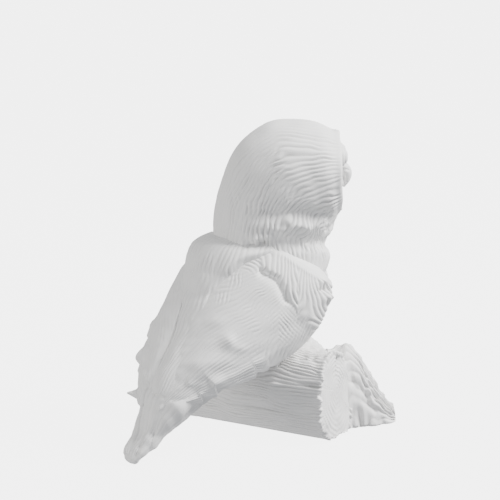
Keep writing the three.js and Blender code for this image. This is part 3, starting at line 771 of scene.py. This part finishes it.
def tail_piece():
    """The tail: a flattened loft with long feathers above, a hollow along its middle and soft barbs. Its root
    is raised to meet the body, more so above than below."""
    columns, count = 300, 30
    t = np.linspace(0, 1, 200)
    grid = rail_grid(TAIL_ROWS, t, columns, 2.4)
    where = ring_place(columns, count, (t * 8)[:, None])
    around = np.arange(columns)[None] / columns * count
    lift = np.sin(2 * np.pi * np.arange(columns) / columns)[None]
    share = grid[..., 0] / 15.0
    tt = t[:, None]
    vane = 1.2 * np.abs(np.cos(np.pi * (share * 2.2 + 0.15 * np.sin(tt * 9)))) ** 0.7 * smooth(lift, 0.0, 0.5)
    hollow = -2.2 * hill(share, 0.05, 0.22) * smooth(lift, 0.2, 0.7) * hill(tt, 0.62, 0.22)
    carve = strokes(around, where, 83, even=0.2)
    lumps = 1.3 * noise(grid / 9, 89) + 0.5 * noise(grid / 4.2, 91)
    fade = smooth(tt, 0, 0.1) * (1 - 0.6 * smooth(tt, 0.93, 1.0))
    middle = 1 - smooth(share, 0.35, 0.8)
    root = 9.0 * smooth(lift, -0.1, 0.5) + 3.5 * smooth(lift, -0.7, -0.1)
    root = root * middle * (1 - smooth(tt, 0.32, 0.66))
    grid = grid + grid_normals(grid) * ((vane + hollow + 0.2 * carve + lumps) * fade + root)[..., None]
    grid[..., 2] = np.maximum(grid[..., 2], 0.05)
    ends = [(0.85, 1.0), (0.5, 1.6)]
    grid = with_ends(grid, (), ends)
    grid[..., 2] = np.maximum(grid[..., 2], 0.05)
    relief = np.pad(carve * 0.5 * fade, ((0, 2), (0, 0)))
    return settle(grid_piece("tail_feathers", grid, relief), RESIN, "tail_casting")


# ---------------------------------------------------------------------------------------------
# Legs and feet
# ---------------------------------------------------------------------------------------------
def leg_piece(side, name):
    """A short feathered leg: rings stacked up to the belly, carved with downward strokes."""
    t = np.linspace(0, 1, 70)
    columns, count = 160, 20
    radius = through([(7.4,), (8.8,), (10.2,), (11.6,), (12.4,)], t)
    angle = 2 * np.pi * np.arange(columns)[None] / columns
    z = 61.5 + 24 * t[:, None]
    where = ring_place(columns, count, (t * 3)[:, None])
    carve = strokes(np.arange(columns)[None] / columns * count, where, 97 + (side > 0), even=0.5)
    r = radius + 0.4 * carve + 0.7 * noise(where * 0.3, 99)
    grid = np.stack([side * STANCE[0] + r * np.cos(angle), STANCE[1] + r * np.sin(angle), z + 0 * angle], -1)
    grid = with_ends(grid, [(0.85, 0.6), (0.4, 1.0)], [(0.6, 0.2)])
    return settle(grid_piece(f"{name}_feathers", grid, np.pad(carve * 0.7, ((2, 1), (0, 0)))), RESIN, name)


def on_bark(along, degrees, height):
    """A point a height above the bark, at an angle round the log from its top towards the owl's front."""
    a = np.radians(degrees)
    reach = LOG["top"] - LOG["centre"]
    return (along, -(LOG["half_width"] + height) * np.sin(a), LOG["centre"] + (reach + height) * np.cos(a))


def foot_piece(side, name):
    """A foot: a palm and four toes with scutes, each tipped by a claw, fused by a fine remesh."""
    ankle = turned(np.array([side * STANCE[0], STANCE[1], LOG["top"] + 2]), -LOG_TURN)
    polar = np.linspace(0.05, np.pi - 0.05, 24)[:, None]
    turn = 2 * np.pi * np.arange(32)[None] / 32
    palm_radius, palm_height = 8.6, 7.0
    out = palm_radius * np.sin(polar)
    grids = [np.stack([ankle[0] + out * np.cos(turn), ankle[1] + out * np.sin(turn),
                       ankle[2] - 1 + palm_height * np.cos(polar) + 0 * turn], -1)]
    for spread, reach, curl in ((-11, 56, 14), (0, 62, 14), (11, 56, 14), (0, -34, -14)):
        steps = [(0.0, 4.2), (0.35, 3.7), (0.7, 3.2), (1.0, 2.8)]
        path = [on_bark(ankle[0] + spread * q, 22 + (reach - 22) * q, h) for q, h in steps]
        grids.append(tube_grid(path, [6.0, 5.7, 5.1, 4.0], 60, 32, wave=0.10, waves=6))
        claw = [path[3], on_bark(ankle[0] + spread * 1.05, reach + curl * 0.35, 3.6),
                on_bark(ankle[0] + spread * 1.09, reach + curl * 0.75, 2.8),
                on_bark(ankle[0] + spread * 1.12, reach + curl * 1.05, 0.6)]
        grids.append(tube_grid(claw, [3.4, 2.9, 1.9, 0.5], 30, 24))
    piece = joined_piece(f"{name}_grip", [turned(g, LOG_TURN) for g in grids])
    remesh = piece.modifiers.new("fuse", "REMESH")
    remesh.mode, remesh.voxel_size, remesh.use_smooth_shade = "VOXEL", 0.0005, True
    return settle(piece, RESIN_SMOOTH, name)


# ---------------------------------------------------------------------------------------------
# The perch
# ---------------------------------------------------------------------------------------------
def log_piece():
    """The log: an oval block flattened underneath. Its bark has long grain furrows that part round
    lens-shaped knots, low swellings, and knobs near the sawn end. Each end is a set of shrinking copies of
    the outline that carries growth rings, with a chipped bark edge."""
    columns, count = 640, 78
    angle = 2 * np.pi * np.arange(columns) / columns
    reach = LOG["top"] - LOG["centre"]
    y0, z0 = LOG["half_width"] * np.cos(angle), LOG["centre"] + reach * np.sin(angle)
    t = np.linspace(0, 1, 88)[:, None]
    where = ring_place(columns, count, t * 15)
    length = t * (LOG["far_end"] - LOG["near_end"])
    around = np.arange(columns)[None] / columns * count
    # Knots, each by its distance along the log, its angle round it and its width in strokes
    bend = 0 * t * angle[None]
    eyes = 0 * bend
    for at, turn, wide in ((38, 0.35, 2.2), (66, 0.9, 2.6), (52, -0.25, 1.8), (96, 0.2, 2.4), (80, 2.4, 2.4),
                           (30, 1.9, 2.0)):
        off = around - turn / (2 * np.pi) * count
        near = np.exp(-((length - at) / 11) ** 2)
        bend += np.tanh(off / wide) * near * wide * 0.5 * np.exp(-(off / (3 * wide)) ** 2)
        eyes += np.exp(-(off / (0.55 * wide)) ** 2 - ((length - at) / 4.5) ** 2)
    grain = strokes(around - bend, where * (1, 1, 0.7), 101, wander=1.1, even=0.3)
    broad = noise(where * (0.14, 0.14, 0.3), 103)
    fissure = -smooth(noise(where * (0.55, 0.55, 0.2), 107), 0.3, 0.8)
    burl = smooth(34 - length, 0, 16) * smooth(np.sin(angle - 0.35)[None], 0.3, 0.9)
    knobs = burl * (2.0 * noise(where * (0.3, 0.3, 1.3), 109) + 1.2 * noise(where * (0.6, 0.6, 2.4), 110))
    bark = 0.48 * grain * (1 - 0.5 * burl) + 1.3 * broad + 1.2 * fissure + 1.1 * eyes + knobs
    mean_radius = 29.0
    scale = 1 + (bark + 0.9 * hill(t, 0.0, 0.02)) / mean_radius
    y = y0[None] * scale
    z = LOG["centre"] + (z0[None] - LOG["centre"]) * scale
    rim = map_place(y0, z0, 4.5)
    chip = 2.6 * noise(rim, 113) + 1.6 * noise(rim * 2.6, 115)
    sawn = LOG["near_end"] + LOG["lean"] * z0 / LOG["top"] - LOG["skew"] * y0 / LOG["half_width"]
    start = (sawn + chip * 0.7)[None]
    x = start * (1 - t) + LOG["far_end"] * t
    side = np.stack([x, y, z], -1)

    def sawn_end(ring, sign, seed, rows):
        """Rings drawn in towards the pith: growth rings ripple along the log's axis, inside a raised bark
        edge."""
        share = np.linspace(1, 0.02, rows)[1:, None]
        pith = np.array([-1.0, 33.0])
        flat_y = pith[0] + (ring[:, 1][None] - pith[0]) * share
        flat_z = pith[1] + (ring[:, 2][None] - pith[1]) * share
        place = map_place(flat_y, flat_z, 6)
        wave = strokes(share * 10, place, seed, 0.6, 0.3)
        plane = LOG["near_end"] + LOG["lean"] * flat_z / LOG["top"] - LOG["skew"] * flat_y / LOG["half_width"]
        plane = plane if sign < 0 else LOG["far_end"] + 0 * flat_y
        inside = smooth(1 - share + 0.05 * noise(place * 1.5, seed + 4), 0.06, 0.13)
        bearing = np.arctan2(flat_z - pith[1], flat_y - pith[0])
        crack = -1.3 * hill(bearing, 1.75, 0.07) * smooth(share, 0.35, 0.8)
        ripple = 0.40 * wave + 0.6 * noise(place * 0.8, seed + 1) + crack
        flat_x = ring[:, 0][None] * (1 - inside) + (plane + sign * ripple) * inside + sign * 0.9
        return np.stack([flat_x, flat_y, flat_z], -1)

    near = sawn_end(side[0], -1, 121, 40)[::-1]
    far = sawn_end(side[-1], 1, 131, 26)
    grid = np.concatenate([near, side, far])
    grid[..., 2] = np.maximum(grid[..., 2], LOG["floor"])
    relief = np.concatenate([np.zeros(near.shape[:2]), 0.8 * grain + 0.9 * fissure, np.zeros(far.shape[:2])])
    return settle(grid_piece("log", turned(grid, LOG_TURN), relief), RESIN_BARK, "log_casting")


def stub_piece():
    """The broken branch stub: arched sections that fall away to a splintered tip. Splinter ridges run its
    length, its crest is saw-toothed, and bark knobs with hollows between them sit along its upper end."""
    t = np.linspace(0, 1, 230)
    profile = through(STUB_ROWS, t)
    along, top, half = profile[:, 0:1], profile[:, 1:2], profile[:, 2:3]
    arc = np.linspace(0, np.pi, 300)[None]
    heading = np.array([*STUB["heading"], 0.0])
    heading /= np.linalg.norm(heading)
    sideways = np.array([-heading[1], heading[0], 0.0])
    root = np.array([*STUB["start"], 0.0]) + heading * along
    where = np.stack([arc * 4.5 + 0 * along, 0 * arc * along, along / 8 + 0 * arc], -1)
    ridges = strokes(arc / np.pi * 17 + 0 * along, where * (1.2, 1, 1), 141, wander=0.9, even=0.5)
    broad = strokes(arc / np.pi * 6 + 0 * along, where * (0.5, 1, 0.8), 145, wander=0.6, even=0.6)
    # Teeth on the crest, and knobs and pits by their distance along the stub and their angle over it
    crest = hill(arc, np.pi / 2, 0.6)
    tooth = ((along + 2.2 * noise(np.stack([along / 4, 0 * along, 0 * along], -1), 143)) / 5.6) % 1.0
    saw = 2.8 * tooth * smooth(1 - tooth, 0, 0.12) * smooth(along, 18, 28) * crest
    knobs = sum(3.2 * np.exp(-((along - a) ** 2 / 12 + ((arc - b) * half) ** 2 / 16))
                for a, b in ((9, 1.2), (14, 1.75), (19, 1.35), (23.5, 1.8), (28, 1.4), (13, 0.7), (20, 0.8),
                             (31, 1.0)))
    pits = -3.4 * sum(np.exp(-((along - a) ** 2 / 5 + ((arc - b) * half) ** 2 / 6))
                      for a, b in ((16.5, 1.0), (21.5, 1.1), (26, 1.1), (11.5, 1.0)))
    lumps = 1.3 * noise(where * (0.4, 1, 1.4), 147) + 0.8 * noise(where * (1.2, 1, 2.6), 149)
    low = smooth(np.abs(arc - np.pi / 2), 0.3, 0.9)
    swell = (0.75 * ridges + 1.1 * broad * low) * smooth(along, 4, 14) + saw + knobs + pits + lumps
    side = (half + swell * 0.9) * np.cos(arc)
    z = STUB["floor"] + (top - STUB["floor"] + swell) * np.sin(arc) ** 0.7
    upper = root[:, None] + sideways * side[..., None]
    upper[..., 2] = z
    under_share = np.linspace(-1, 1, 26)[None, 1:-1]
    under = root[:, None] + sideways * ((half + swell[:, :1] * 0.9) * under_share)[..., None]
    under[..., 2] = STUB["floor"]
    grid = with_ends(np.concatenate([upper, under], 1), (), [(0.7, 1.0), (0.3, 1.5)])
    grid[..., 2] = np.maximum(grid[..., 2], STUB["floor"])
    relief = np.pad(np.concatenate([ridges, np.zeros(under.shape[:2])], 1), ((0, 2), (0, 0)))
    piece = grid_piece("branch_stub_splintered", turned(grid, LOG_TURN), relief)
    return settle(piece, RESIN_BARK, "branch_stub")


make_stage()
head_piece()
disc_piece()
beak_piece()
body_piece()
tail_piece()
for side, word in ((1, "left"), (-1, "right")):
    eye_piece(side, f"eye_{word}")
    leg_piece(side, f"leg_{word}")
    foot_piece(side, f"foot_{word}")
wing_piece(1, "wing_left", 151, ((0.725, 0.5, 3.6), (0.92, 0.5, 8.0), (0.61, 0.45, 2.0)))
wing_piece(-1, "wing_right", 171, ((0.70, 0.2, 1.6), (0.9, 0.3, 1.5)))
log_piece()
stub_piece()

steel, felt = brushed_steel(), pressed_felt()
for name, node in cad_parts.items():
    if name == "felt_pad" or "pin" in name or "rod" in name or name in ("ballast_bar", "neck_dowel"):
        node.data.materials.clear()
        node.data.materials.append(felt if name == "felt_pad" else steel)
